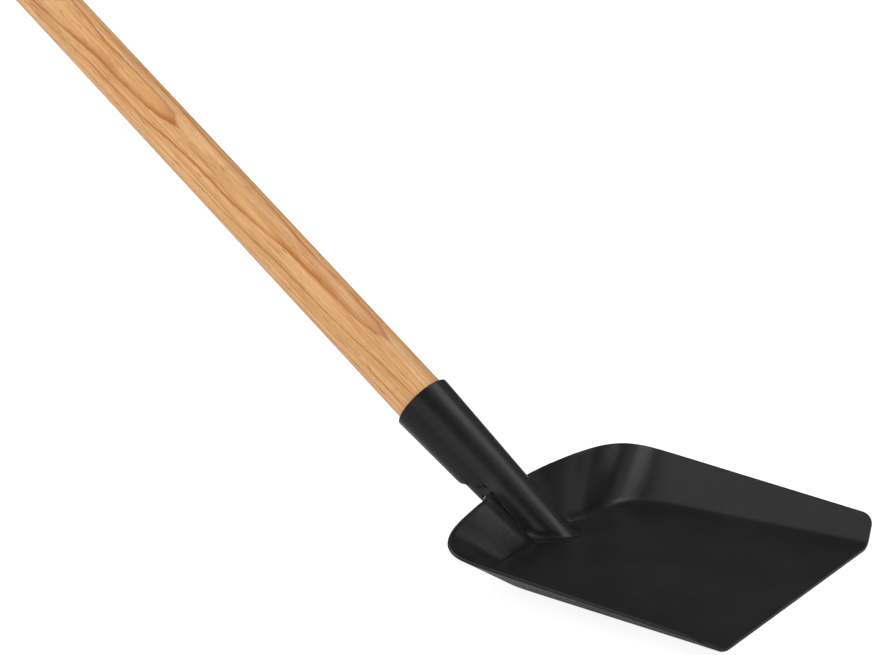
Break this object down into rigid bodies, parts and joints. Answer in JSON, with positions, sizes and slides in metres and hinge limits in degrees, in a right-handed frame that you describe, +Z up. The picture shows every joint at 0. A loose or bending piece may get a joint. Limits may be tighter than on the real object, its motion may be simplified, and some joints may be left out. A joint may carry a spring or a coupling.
{
  "type": "grain scoop shovel",
  "caption": "Small steel scoop pan with flared sides and a raised back, held by a tapered steel socket on a long straight round wooden handle.",
  "frame": {"origin": "middle of the pan floor's flat underside, on the plane that the tool rests on", "axes": "+X towards the pan's front edge, +Z up, +Y to the left seen from the handle; the XZ plane is the tool's plane of symmetry"},
  "size_m": [1.1979, 0.2582, 0.7376],
  "materials": {
    "painted_steel": "satin black paint over pressed sheet steel",
    "handle_wood": "clear satin varnish over straight-grained hardwood",
    "screw_steel": "plain steel"
  },
  "bodies": {
    "root": {"pan": "painted_steel", "socket": "painted_steel", "handle": "handle_wood", "socket_screw": "screw_steel", "weld_tacks": "painted_steel"}
  },
  "joints": []
}
